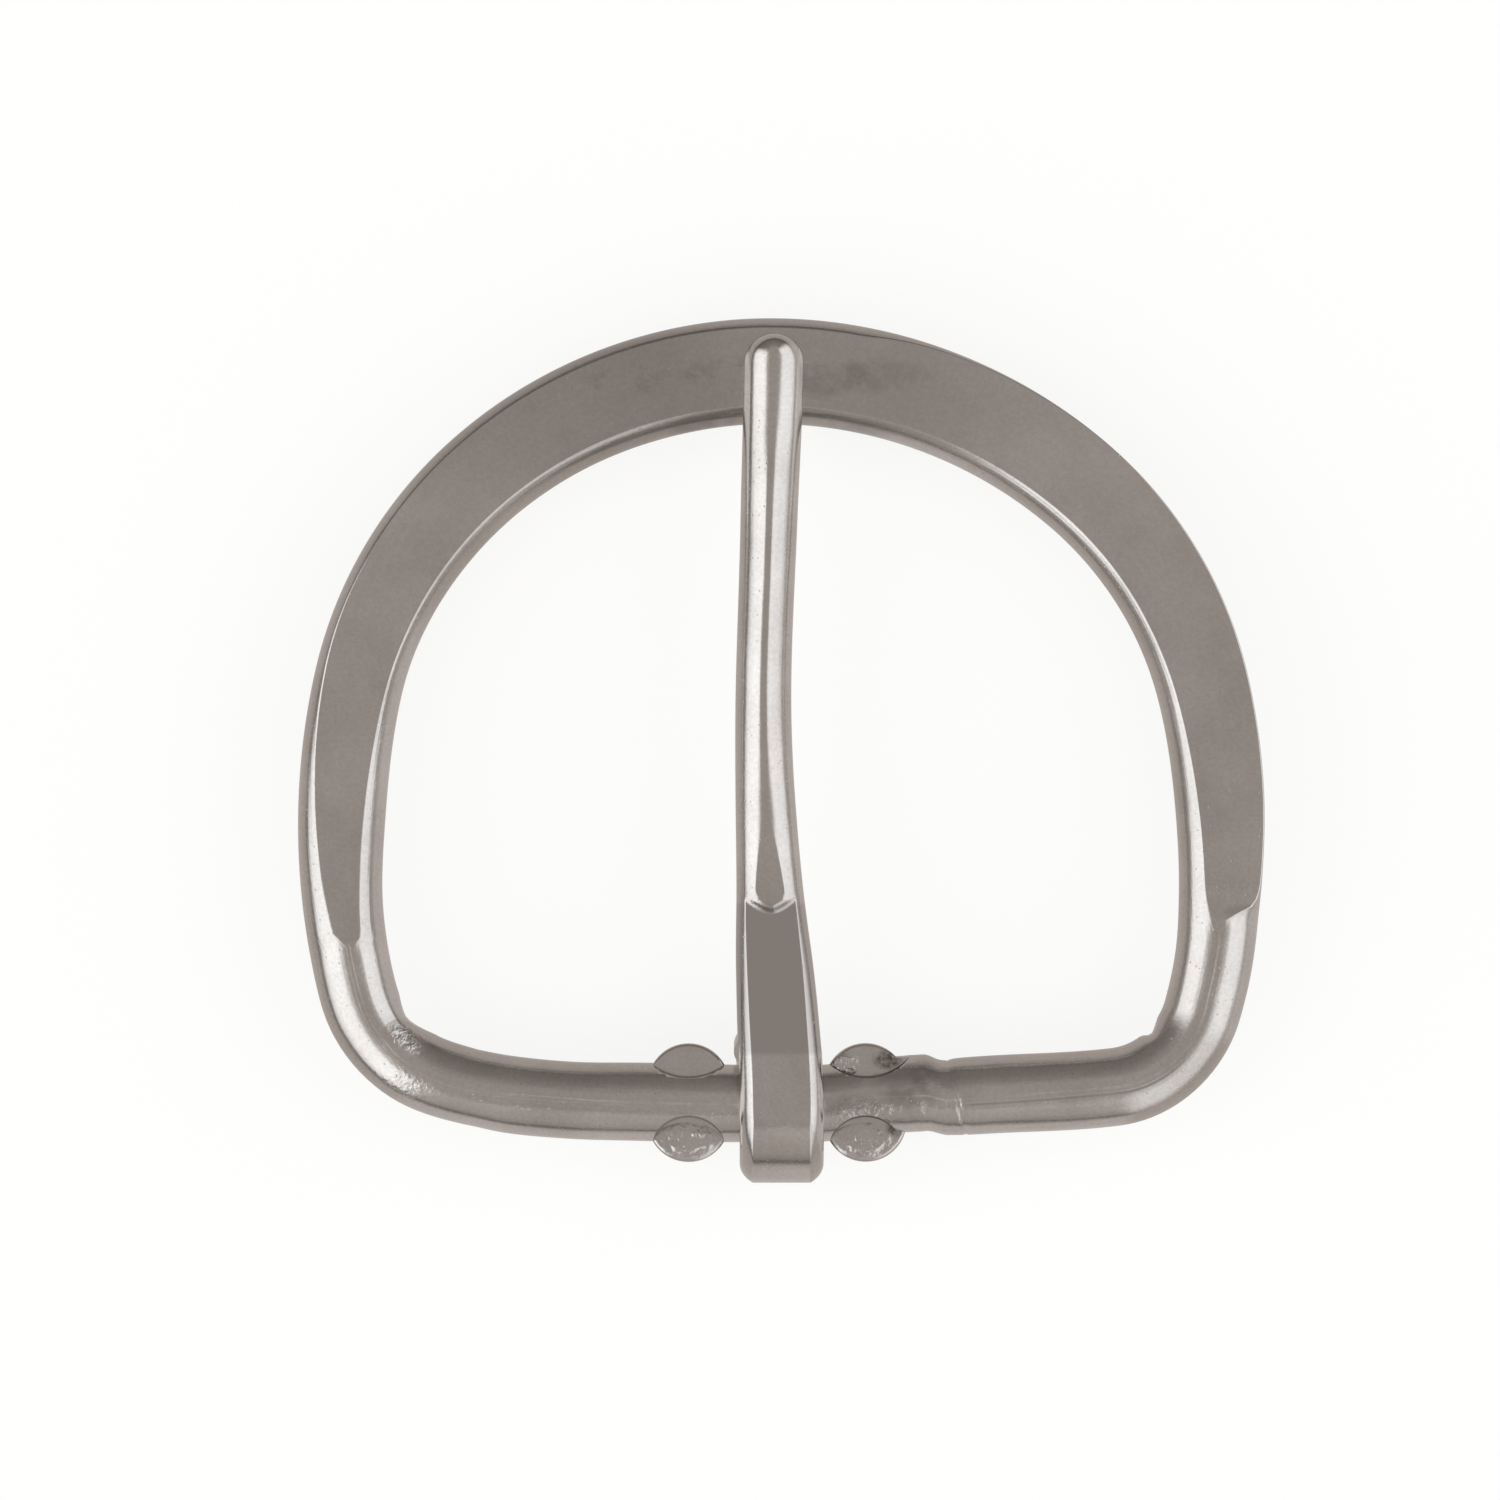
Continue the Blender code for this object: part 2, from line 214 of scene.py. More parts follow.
def makeSteel(name, look):
    material = bpy.data.materials.new(name)
    material.use_nodes = True
    tree = material.node_tree
    shader = tree.nodes["Principled BSDF"]
    shader.inputs["Metallic"].default_value = 1.0
    where = addNode(tree, "TexCoord", give="Object")
    along = addNode(tree, "UVMap", {"uv_map": "alongWire"})
    run = addNode(tree, "SeparateXYZ", None, {"Vector": along}, "X")
    around = run.node.outputs["Y"]
    stretched = addNode(tree, "Mapping", {"Scale": (1 / steelLook["lineLength"],
                                                    1 / steelLook["lineWidth"], 1)},
                        {"Vector": along})
    cloud = addNode(tree, "TexNoise", {"Scale": 1 / steelLook["cloudSize"], "Detail": 4.0,
                                       "Roughness": 0.6}, {"Vector": where})
    specks = addNode(tree, "TexNoise", {"Scale": 1 / steelLook["specks"], "Detail": 2.0,
                                        "Roughness": 0.8}, {"Vector": where})
    grain = addNode(tree, "TexNoise", {"Scale": 1 / steelLook["grainSize"], "Detail": 3.0,
                                       "Roughness": 0.7}, {"Vector": where})
    wave = addNode(tree, "TexNoise", {"Scale": 1 / steelLook["waveSize"], "Detail": 1.0,
                                      "Roughness": 0.4}, {"Vector": where})
    lines = addNode(tree, "TexNoise", {"Scale": 1.0, "Detail": 2.0, "Roughness": 0.5},
                    {"Vector": stretched})
    # pin-prick pits, in more than half of the cells
    cells = addNode(tree, "TexVoronoi", {"Scale": 1 / steelLook["pitSpacing"]},
                    {"Vector": where}, "Distance")
    chance = addNode(tree, "SeparateColor", None, {"Color": cells.node.outputs["Color"]}, "Red")
    edge = steelLook["pitRadius"] / steelLook["pitSpacing"]
    hole = addNode(tree, "MapRange", {"From Min": steelLook["pitFloor"] * edge, "From Max": edge,
                                      "To Min": 1.0, "To Max": 0.0}, {"Value": cells})
    low, high = steelLook["pitCells"]
    picked = addNode(tree, "MapRange", {"From Min": low, "From Max": high}, {"Value": chance})
    pits = addNode(tree, "Math", {"operation": "MULTIPLY"}, {0: hole, 1: picked})
    # heights in metres, positive outwards
    relief = [(wave, steelLook["waveDepth"]), (lines, look["lineDepth"]),
              (grain, steelLook["grainDepth"]), (pits, -steelLook["pitDepth"])]
    tone = None
    for pattern, kind in ((cloud, "cloud"), (specks, "specks"), (lines, "lines")):
        low, high, share = steelLook["tone"][kind]
        part = addNode(tree, "MapRange", {"From Min": low, "From Max": high, "To Max": share},
                       {"Value": pattern})
        tone = addNode(tree, "Math", {"operation": "ADD"}, {0: tone, 1: part}) if tone else part
    colour = addNode(tree, "Mix", {"data_type": "RGBA", 6: hexColour(steelLook["dull"]),
                                   7: hexColour(steelLook["bright"])}, {0: tone}, 2)
    dark = addNode(tree, "Math", {"operation": "MULTIPLY", 1: steelLook["pitTone"]}, {0: pits})
    # patches darkened towards the dark colour: real stains, and also painted shade and painted
    # darker reflection
    for centre, reach, strength, size in look.get("stainsAndShade", ()):
        mottle = addNode(tree, "TexNoise", {"Scale": 1 / (size * mm), "Detail": 4.0,
                                            "Roughness": 0.7}, {"Vector": where})
        low, high = steelLook["stainAndShadeLevels"]
        uneven = addNode(tree, "MapRange", {"From Min": low, "From Max": high,
                                            "To Max": strength}, {"Value": mottle})
        patch = addNode(tree, "Math", {"operation": "MULTIPLY"},
                        {0: patchAt(tree, where, centre, reach), 1: uneven})
        dark = addNode(tree, "Math", {"operation": "MAXIMUM"}, {0: dark, 1: patch})
    for place, width, start, end, depth in look.get("scratches", ()):
        # a long mark that follows the wire
        off = addNode(tree, "Math", {"operation": "SUBTRACT", 1: place * mm}, {0: around})
        off = addNode(tree, "Math", {"operation": "ABSOLUTE"}, {0: off})
        core, (fadeIn, fadeOut) = steelLook["scratchCore"] * width, steelLook["scratchFades"]
        line = addNode(tree, "MapRange", {"From Min": width * mm, "From Max": core * mm},
                       {"Value": off})
        for low, high in ((start, start + fadeIn), (end, end - fadeOut)):
            fade = addNode(tree, "MapRange", {"From Min": low * mm, "From Max": high * mm},
                           {"Value": run})
            line = addNode(tree, "Math", {"operation": "MULTIPLY"}, {0: line, 1: fade})
        relief.append((line, -depth * mm))
        line = addNode(tree, "Math", {"operation": "MULTIPLY", 1: steelLook["scratchTone"]},
                       {0: line})
        dark = addNode(tree, "Math", {"operation": "MAXIMUM"}, {0: dark, 1: line})
    for centre, reach, depth, size in look.get("dents", ()):
        bumps = addNode(tree, "TexNoise", {"Scale": 1 / (size * mm), "Detail": 2.0,
                                           "Roughness": 0.6}, {"Vector": where})
        patch = addNode(tree, "Math", {"operation": "MULTIPLY"},
                        {0: patchAt(tree, where, centre, reach), 1: bumps})
        relief.append((patch, depth * mm))
    colour = addNode(tree, "Mix", {"data_type": "RGBA", 7: hexColour(steelLook["stainAndShadeColour"])},
                     {0: dark, 6: colour}, 2)
    if "strap" in look:
        # the pressed strap is a shade darker than the drawn shank
        start, end, shade = look["strap"]
        pressed = None
        for low, high in ((start, start + steelLook["strapFade"]),
                          (end, end - steelLook["strapFade"])):
            fade = addNode(tree, "MapRange", {"From Min": low * mm, "From Max": high * mm},
                           {"Value": run})
            pressed = (addNode(tree, "Math", {"operation": "MULTIPLY"}, {0: pressed, 1: fade})
                       if pressed else fade)
        colour = addNode(tree, "Mix", {"data_type": "RGBA", 7: hexColour(shade)},
                         {0: pressed, 6: colour}, 2)
    tree.links.new(colour, shader.inputs["Base Color"])
    low, high = steelLook["roughLevels"]
    least, most = (look["roughness"] + spread for spread in steelLook["roughSpread"])
    rough = addNode(tree, "MapRange", {"From Min": low, "From Max": high, "To Min": least,
                                       "To Max": most}, {"Value": grain})
    tree.links.new(rough, shader.inputs["Roughness"])
    normal = None
    for height, depth in relief:
        normal = addNode(tree, "Bump", {"Strength": 1.0, "Distance": abs(depth),
                                        "invert": depth < 0},
                         {"Height": height, **({"Normal": normal} if normal else {})})
    tree.links.new(normal, shader.inputs["Normal"])
    return material


# Nickel-plated steel wire, forged between polished dies and then tumbled: flats like dull mirrors,
# cloudy and finely pricked, with faint lines along the wire where it was drawn.
# Stains and painted shade are centre, reach, strength and mottle size; dents are centre, reach,
# depth and size; scratches are place round the wire, width, start, end and depth; a strap is start,
# end and colour. Lengths are in mm.
forgedSteel = makeSteel("forgedTumbledSteel", {
    "roughness": 0.16, "lineDepth": 0.008 * mm,
    # painted darker reflection: a band along the arch top's flat and a wide patch over its left
    # part
    "stainsAndShade": [((-2.5, 19.35, 6), (15, 1.7, 2), 0.42, 2.2),
               ((-9.0, 18.6, 6), (24, 7.0, 3), 0.31, 8.0),
               # painted shade on the arch's inner flank under the tongue's tip
               ((-0.6, 17.0, 4.4), (12, 1.1, 1.6), 0.6, 9.0),
               ((7.2, -16.6, 5.5), (1.3, 0.8, 1.5), 0.3, 0.6),
               ((6.4, -17.6, 5.8), (2.0, 1.5, 1.6), 0.42, 0.8),
               ((3.7, -18.4, 6.0), (2.2, 0.8, 1.2), 0.4, 0.5)],
    "dents": [((-19.5, -14.8, 5.8), (1.3, 1.0, 1.4), 0.05, 0.3),
              ((-19.3, -17.1, 5.4), (2.4, 1.3, 1.5), 0.03, 0.3),
              ((4.4, -18.6, 6.0), (2.3, 1.1, 1.0), 0.05, 0.3),
              ((-3.6, -18.7, 6.0), (1.3, 0.8, 1.0), 0.03, 0.3),
              ((7.7, -18.0, 6.0), (1.4, 2.0, 1.6), 0.02, 0.3)],
    "scratches": [(1.70, 0.06, 49.5, 61.4, 0.006), (1.9, 0.05, 78.0, 86.0, 0.004)]})
# The same wire, cold-struck by a punch: the squeezed skin is rougher and folded into small dents.
struckSteel = makeSteel("struckSteel", {
    "roughness": 0.19, "lineDepth": 0.0,
    "stainsAndShade": [((5.5, -16.0, 4.6), (0.9, 0.6, 1), 0.95, 0.25),
               ((5.9, -19.5, 4.6), (0.6, 0.6, 1), 0.9, 0.25)],
    "dents": [((-4.9, -20.2, 4.6), (1.8, 0.95, 1), 0.18, 0.7),
              ((4.4, -20.2, 4.6), (1.9, 0.95, 1), 0.15, 0.6),
              ((3.2, -16.2, 4.6), (0.9, 0.7, 1), 0.13, 0.4)]})
# Bare sheared steel on the punched walls, painted dark as shade in the recess: dark and dull.
punchWallShadeSteel = makeSteel("punchWallPaintedShade", {
    "roughness": 0.45, "lineDepth": 0.0,
    # the whole wall painted in the dark colour, as shade
    "stainsAndShade": [((0, -18, 4), (20, 9, 9), 1.0, 9.0)]})
# Steel wire drawn thinner through a polished die, its tail pressed flat: the brightest skin here.
drawnSteel = makeSteel("drawnPolishedSteel", {
    "roughness": 0.14, "lineDepth": 0.003 * mm, "strap": (2.6, 10.6, "#bcb8b6"),
    "dents": [((-0.4, -18.8, 8.2), (1.4, 1.3, 1.5), 0.016, 0.3)]})
print("steel made")


# The D is one wire, bent round five bends a side and then forged.
dWire = {
    "wire": 4.0 * mm,
    "archHeight": 38.05 * mm,      # bar axis to the middle of the arch
    "closeX": -0.6 * mm,           # the halves meet here
    # turn in degrees and radius, from the arch top down; the first and last radii close the half
    "right": [(40.5, None), (35.0, 20.1 * mm), (29.0, 33.9 * mm), (69.5, 5.3 * mm), (6.0, None)],
    "left": [(41.0, None), (35.0, 20.5 * mm), (28.0, 33.4 * mm), (70.5, 6.8 * mm), (5.5, None)],
    "sides": 72,
    "step": 0.4 * mm, "stepTurn": 3.5,         # the longest step, and the most degrees in one
    "fineStep": 0.11 * mm,         # on the right half of the bar, where the weld is
    "barBand": 3.0 * mm,           # the bar wanders less than this, the corners rise more
    "smoothAngle": 50.0,
}

forging = {
    "depth": 0.62 * mm, "run": 18.0 * mm,
    "easeDepth": 0.07 * mm, "easeRun": 4.0 * mm,
    "edgeSoftness": 0.04 * mm,
    # Right half, then left half. The forged wire spreads away from the bend's line by these
    # amounts, outwards and inwards, all in mm from the arch top along the wire.
    1: {"outer": [(0, 2.74), (4, 2.73), (10, 2.65), (20, 2.49), (30, 2.29), (36, 2.12), (40, 1.96),
                  (45, 2.01), (49, 1.93), (54, 2.10), (60, 1.93), (64, 1.93), (70, 2.0)],
        "inner": [(0, 2.75), (8, 2.73), (20, 2.63), (30, 2.50), (37, 2.46), (41, 2.26), (44, 2.07),
                  (49, 2.06), (54, 1.96), (60, 2.12), (64, 2.06), (70, 2.0)],
        # where the flat's outer and inner edges run out, how fast, and the flanks' squareness
        "ends": (42.1 * mm, 43.4 * mm), "runs": (1.0 * mm, 3.0 * mm),
        "firstDepths": (0.42 * mm, 0.12 * mm), "powers": (6.0, 1.8),
        "squareRun": 2.5 * mm,
        "crease": (50.0 * mm, 1.5 * mm, 0.7 * mm, 0.34 * mm)},
    -1: {"outer": [(0, 2.74), (10, 2.68), (16, 2.63), (26, 2.50), (36, 2.32), (42, 2.24),
                   (46, 2.20), (49.5, 2.02), (52.5, 1.84), (55, 2.10), (58, 2.16), (62, 2.07),
                   (70, 2.0)],
         "inner": [(0, 2.75), (6, 2.73), (12, 2.60), (20, 2.42), (27, 2.22), (36, 2.21),
                   (41, 1.88), (46, 1.84), (49.5, 2.0), (52, 2.15), (55, 1.92), (58, 1.85),
                   (62, 2.0), (70, 2.0)],
         "ends": (42.5 * mm, 42.45 * mm), "runs": (0.9 * mm, 0.45 * mm),
         "firstDepths": (0.12 * mm, 0.11 * mm), "powers": (2.4, 1.8),
         "squareRun": 18.0 * mm,
         "crease": (47.5 * mm, 1.9 * mm, 2.2 * mm, 0.42 * mm)},
    "creaseHeight": 1.75 * mm, "creaseShape": 1.3,   # it dies out towards the top of the wire
    "leanFrom": 4.0 * mm, "leanRun": 10.0 * mm,      # the left's outer flank becomes the right's
    "closed": 0.998,               # an edge as near the top as this leaves no flat
}

weld = {
    "x": 8.0 * mm,                 # the wire's ends meet here, out of line with each other
    "step": 0.30 * mm, "stepRun": 1.15 * mm, "fadeX": 2.0 * mm, "fadeRun": 3.0 * mm,
    "waist": 0.05 * mm, "waistX": 8.4 * mm, "waistWide": 0.6 * mm,
    "seamX": 9.1 * mm, "seamLean": -0.18, "seamDepth": 0.05 * mm, "seamWidth": 0.1 * mm,
    "lumps": 0.05 * mm, "lumpsX": 7.6 * mm, "lumpsWide": 1.4 * mm,
    "lumpScales": ((800, 600, 1.0), (1900, 1500, 0.4)),    # per metre along and across, share
}


def closeHalf(bends):
    # radians and radii of a half D; the first and last radii land it on the bar's axis
    turn = [math.radians(b[0]) for b in bends]
    ends = np.concatenate([[0.0], np.cumsum(turn)])
    s, c = np.sin(ends), np.cos(ends)
    middle = range(1, len(bends) - 1)
    run = sum(bends[i][1] * (s[i + 1] - s[i]) for i in middle)
    drop = sum(bends[i][1] * (c[i + 1] - c[i]) for i in middle)
    first, last = np.linalg.solve([[s[1], s[-1] - s[-2]], [c[1] - 1.0, c[-1] - c[-2]]],
                                  [-run, -dWire["archHeight"] - drop])
    return list(zip(turn, [float(first)] + [bends[i][1] for i in middle] + [float(last)]))


def bendTheWire():
    # each bend is one spin of the wire's end ring round the bend's centre
    start = Vector((dWire["closeX"], barAxis.y + dWire["archHeight"], barAxis.z))
    piece = newCircle("dFrame", dWire["sides"], dWire["wire"] / 2, start, (0, math.pi / 2, 0))
    right, left = closeHalf(dWire["right"]), closeHalf(dWire["left"])[::-1]
    heading, run, place = 0.0, 0.0, start
    stations = [(0.0, 0.0, start.copy())]
    for number, (turn, radius) in enumerate(right + left):
        centre = place - radius * Vector((math.sin(heading), math.cos(heading), 0))
        step = min(dWire["step"], radius * math.radians(dWire["stepTurn"]))
        if number == len(right) - 1:
            step = dWire["fineStep"]
        steps = math.ceil(turn * radius / step)
        bpy.ops.mesh.spin(steps=steps, angle=turn, center=centre, axis=(0, 0, 1))
        for n in range(1, steps + 1):
            angle = heading + turn * n / steps
            spot = centre + radius * Vector((math.sin(angle), math.cos(angle), 0))
            stations.append((run + turn * radius * n / steps, angle, spot))
        heading, run, place = heading + turn, run + turn * radius, stations[-1][2]
    setMode("OBJECT")
    halfLength = sum(t * r for t, r in right)
    return piece, stations, halfLength, run


def flatEdge(inside, first, run):
    # how deep the flat's edge is cut, this far inside its end
    ease = forging["easeDepth"]
    rest = forging["depth"] - first - ease
    return (first * smooth(inside / run) + ease * smooth(inside / forging["easeRun"])
            + rest * smooth(inside / forging["run"]))


def hammerWeld(x, u, v):
    # dressed weld: one end of the wire sits higher, with a waist, a seam line and lumps
    half = dWire["wire"] / 2
    grow = -weld["waist"] * math.exp(-((x - weld["waistX"]) / weld["waistWide"]) ** 2)
    seam = weld["seamX"] - weld["seamLean"] * u
    grow = grow - weld["seamDepth"] * np.exp(-((x - seam) / weld["seamWidth"]) ** 2)
    worked = math.exp(-((x - weld["lumpsX"]) / weld["lumpsWide"]) ** 4)
    lumps = np.array([sum(share * noise.noise(Vector((x * along, a * across, b * across)))
                          for along, across, share in weld["lumpScales"])
                      for a, b in zip(u, v)])
    grow = grow + weld["lumps"] * worked * lumps
    return u * (1 + grow / half), v * (1 + grow / half)


def isOnBar(spot):
    return spot.y < barAxis.y + dWire["barBand"]


def forgeTheWire(piece, stations, halfLength, length):
    sides, half = dWire["sides"], dWire["wire"] / 2
    points = readPoints(piece)
    for ring, (run, angle, spot) in enumerate(stations):
        side = 1 if run <= halfLength else -1
        far = run if side == 1 else length - run
        shape = forging[side]
        wides = [softCurve(shape[name], far / mm) * mm for name in ("outer", "inner")]
        edges = [min(half - flatEdge(end - far, first, edgeRun), forging["closed"] * half)
                 for end, first, edgeRun in zip(shape["ends"], shape["firstDepths"],
                                                shape["runs"])]
        lean = np.clip((spot.x - forging["leanFrom"]) / forging["leanRun"], 0, 1)
        outer = forging[-1]["powers"][0] + lean * (forging[1]["powers"][0]
                                                   - forging[-1]["powers"][0])
        forged = smooth((shape["ends"][0] - far) / shape["squareRun"])
        fullInner = smooth((shape["ends"][1] - far) / forging["run"])
        powers = (2 + (outer - 2) * forged, 2 + (shape["powers"][1] - 2) * fullInner)
        u, v = wholeSection(*halfSection(sides, wides, half, edges, powers,
                                         forging["edgeSoftness"]))
        # the inside of the sharp bend folds into a crease
        creaseAt, before, after, depth = shape["crease"]
        away = (far - creaseAt) / (before if far < creaseAt else after)
        if abs(away) < 1:
            low = smooth(1 - np.abs(v) / forging["creaseHeight"])
            bite = depth * (1 - abs(away)) ** forging["creaseShape"]
            u = u + bite * low * (u < 0) * np.minimum(-u / half, 1)
        if isOnBar(spot) and spot.x > weld["fadeX"]:
            rise = smooth((spot.x - weld["fadeX"]) / weld["fadeRun"])
            fall = 1 - smooth((spot.x - weld["x"]) / weld["stepRun"] + 0.5)
            u, v = hammerWeld(spot.x, u, v)
            u = u - weld["step"] * (rise * fall)
        out = np.array([math.sin(angle), math.cos(angle)])
        block = points[ring * sides:(ring + 1) * sides]
        block[:, 0] = spot.x + u * out[0]
        block[:, 1] = spot.y + u * out[1]
        block[:, 2] = barAxis.z + v
    writePoints(piece, points)


def closeTheWire(piece):
    onlySelect(piece)
    setMode("EDIT")
    bpy.ops.mesh.select_all(action="SELECT")
    bpy.ops.mesh.remove_doubles(threshold=0.01 * mm)
    bpy.ops.mesh.normals_make_consistent(inside=False)
    setMode("OBJECT")


dFrame, dStations, dHalf, dLength = bendTheWire()
forgeTheWire(dFrame, dStations, dHalf, dLength)
runLines(dFrame, dWire["sides"], np.array([s[0] for s in dStations]), math.pi * dWire["wire"])
closeTheWire(dFrame)
dFrame.data.materials.append(forgedSteel)
print("D bent and forged:", len(dFrame.data.vertices), "points")


# The ears are pinched out of the bar by round-nosed punches, in pairs beside the tongue.
ears = {
    "x": (-4.83 * mm, 4.36 * mm),
    "reach": 1.07 * mm,            # beyond the wire
    "chord": 3.7 * mm,
    "thick": 1.0 * mm,
    "bite": {1: 0.62 * mm, -1: 1.25 * mm},     # how far the punch goes into the wire
    "lip": 0.17 * mm, "lipSteps": 3,           # rounding of the ear's rim
    "draft": {1: 0.13 * mm, -1: 0.26 * mm},    # the punch is wider higher up
    "punchDepth": 2.2 * mm,
    "sides": 128,
}


def barPoint(x):
    return min([s[2] for s in dStations if isOnBar(s[2])], key=lambda spot: abs(spot.x - x))


def arcRadius(chord, rise):
    # the circle that stands this high over its chord
    return (chord * chord / 4 + rise * rise) / (2 * rise)


def addEar(x, side):
    edge = barPoint(x).y + side * dWire["wire"] / 2
    radius = arcRadius(ears["chord"], ears["reach"])
    middle = edge + side * (ears["reach"] - radius)
    deselectAll()
    bpy.ops.mesh.primitive_cylinder_add(vertices=ears["sides"], radius=radius,
                                        depth=ears["thick"], location=(x, middle, barAxis.z))
    ear = bpy.context.object
    bpy.ops.object.transform_apply(location=True, rotation=True, scale=True)
    setMode("EDIT")
    bpy.ops.mesh.select_mode(type="EDGE")
    bpy.ops.mesh.select_all(action="DESELECT")
    setMode("OBJECT")
    for rim in ear.data.edges:             # the edges that lie level
        ends = [ear.data.vertices[i].co for i in rim.vertices]
        rim.select = abs(ends[0].z - ends[1].z) < 0.01 * mm
    setMode("EDIT")
    bpy.ops.mesh.bevel(offset=ears["lip"], segments=ears["lipSteps"], affect="EDGES")
    bpy.ops.mesh.select_mode(type="VERT")
    setMode("OBJECT")
    ear.data.materials.append(struckSteel)
    return ear


def addPunch(x, side, level):
    edge = barPoint(x).y + side * dWire["wire"] / 2
    radius = arcRadius(ears["chord"], ears["bite"][side])
    depth = ears["punchDepth"]
    place = (x, edge + side * (radius - ears["bite"][side]),
             barAxis.z + level * (ears["thick"] / 2 + depth / 2))
    deselectAll()
    wideEnd, noseEnd = radius + ears["draft"][side], radius
    low, high = (noseEnd, wideEnd) if level > 0 else (wideEnd, noseEnd)
    bpy.ops.mesh.primitive_cone_add(vertices=ears["sides"], radius1=low, radius2=high,
                                    depth=depth, location=place)
    punch = bpy.context.object
    bpy.ops.object.transform_apply(location=True, rotation=True, scale=True)
    punch.data.materials.append(struckSteel)
    punch.data.materials.append(punchWallShadeSteel)
    for face in punch.data.polygons:      # the punch's side walls get the painted shade
        face.material_index = int(abs(face.normal.z) < 0.5)
    return punch


def joinAll(pieces, name):
    deselectAll()
    for piece in pieces:
        piece.select_set(True)
    bpy.context.view_layer.objects.active = pieces[0]
    bpy.ops.object.join()
    pieces[0].name = name
    return pieces[0]


def carve(piece, tool, how):
    cut = piece.modifiers.new(tool.name, "BOOLEAN")
    cut.operation = how
    cut.solver = "EXACT"
    cut.material_mode = "TRANSFER"
    cut.object = tool
    applyAll(piece)
    bpy.data.objects.remove(tool, do_unlink=True)


for side in (1, -1):
    blanks = joinAll([addEar(x, side) for x in ears["x"]], "earBlanks")
    carve(dFrame, blanks, "UNION")
punches = joinAll([addPunch(x, side, level) for x in ears["x"] for side in (1, -1)
                   for level in (1, -1)], "punches")
carve(dFrame, punches, "DIFFERENCE")
onlySelect(dFrame)
bpy.ops.object.shade_smooth_by_angle(angle=math.radians(dWire["smoothAngle"]))
print("ears pinched:", len(dFrame.data.polygons), "faces")


# The tongue is a thinner wire, its tail flattened and wrapped round the bar.
tongueWire = {
    "wire": 3.1 * mm,
    "reach": 39.85 * mm,           # bar axis to tip
    "strap": 2.0 * mm,             # thickness of the flattened tail
    "flank": [(0, 2.76), (3, 2.78), (10, 2.95)],   # the height its round sides would close at
    "play": 0.1 * mm,              # between ring and bar
    "tailAngle": 388.0,            # the tail's end, round the bar from the arch side
    "tailShift": -0.3 * mm, "shiftFrom": 250.0, "shiftRun": 110.0,
    "ringSteps": 130,
    # along the shank: start, end and step in mm, finest at the shoulder
    "shankSteps": ((0.3, 8.8, 0.3), (8.8, 12.0, 0.08), (12.0, 38.4, 0.33)),
    "noseSteps": (0, 12, 24, 35, 45, 54, 62, 69, 75, 80, 84, 87),     # degrees of a quarter turn
    # the shoulder is a V: its sides start a horn's length further on than its middle
    "shoulder": 9.85 * mm, "shoulderRun": 0.5 * mm, "shoulderHorn": 0.8 * mm,
    "hornAt": 0.74, "hornShape": 1.4,              # part of the half width
    "crownFrom": 9.0 * mm,
    "flatTop": 0.17 * mm, "flatTopRun": 5.6 * mm,   # the crown flattens towards the shoulder
    # the shoulder ends in a small pinched fold: place across, ends along, height, width
    "pinch": (0.5 * mm, 8.9 * mm, 10.3 * mm, 0.05 * mm, 0.12 * mm),
    "pinchRuns": (0.6 * mm, 0.4 * mm),
    "nose": 1.45 * mm,
    "noseTop": (4, 2.6),           # the tip rounds off later in height than in width
    "edgeSoftness": 0.05 * mm,
    "capRim": 0.1 * mm,            # round the tail's cut end
    "smoothAngle": 45.0,
    "sides": 96,
    "ridge": 0.14 * mm, "ridgeReach": 0.74,      # the shank is hammered to a soft ridge
    "ridgeAlong": [(0, 0), (14, 0), (20, 0.85), (24, 1.0), (32, 1.0), (36.5, 0.1), (40, 0)],
    # along the tongue from the bar axis, all in mm: width, sideways bow, height of the middle
    "width": [(0, 4.35), (3, 4.3), (7, 4.02), (11.4, 3.43), (15.6, 3.1), (40, 3.1)],
    "bow": [(0, 0.0), (5, -0.23), (10, -0.55), (20, -0.95), (30, -0.67), (40, -0.39)],
    "rise": [(0, 0.0), (10, 0.0), (24, 0.2), (33, 0.1), (36.5, -0.12), (40, -0.14)],
}
ringRadius = dWire["wire"] / 2 + tongueWire["play"] + tongueWire["strap"] / 2


def drawTheTongue():
    angle = math.radians(tongueWire["tailAngle"])
    radial = Vector((0, math.cos(angle), math.sin(angle)))
    sideways = Vector((1, 0, 0))
    turn = Matrix((-radial, sideways, sideways.cross(radial))).transposed().to_euler()
    piece = newCircle("tongueWire", tongueWire["sides"], tongueWire["wire"] / 2,
                      barAxis + radial * ringRadius, turn)
    wrap = angle - math.radians(90)
    steps = tongueWire["ringSteps"]
    bpy.ops.mesh.spin(steps=steps, angle=wrap, center=barAxis, axis=(1, 0, 0))
    stations = [("ring", angle - wrap * n / steps) for n in range(steps + 1)]
    stops = np.concatenate([np.arange(*part) for part in tongueWire["shankSteps"]]) * mm
    noseStart = tongueWire["reach"] - tongueWire["nose"]
    stops = np.append(stops, noseStart + tongueWire["nose"]
                      * np.sin(np.radians(tongueWire["noseSteps"])))
    at = 0.0
    for stop in stops:
        bpy.ops.mesh.extrude_region_move(TRANSFORM_OT_translate={"value": (0, stop - at, 0)})
        stations.append(("shank", stop))
        at = stop
    bpy.ops.mesh.edge_face_add()
    setMode("OBJECT")
    return piece, stations


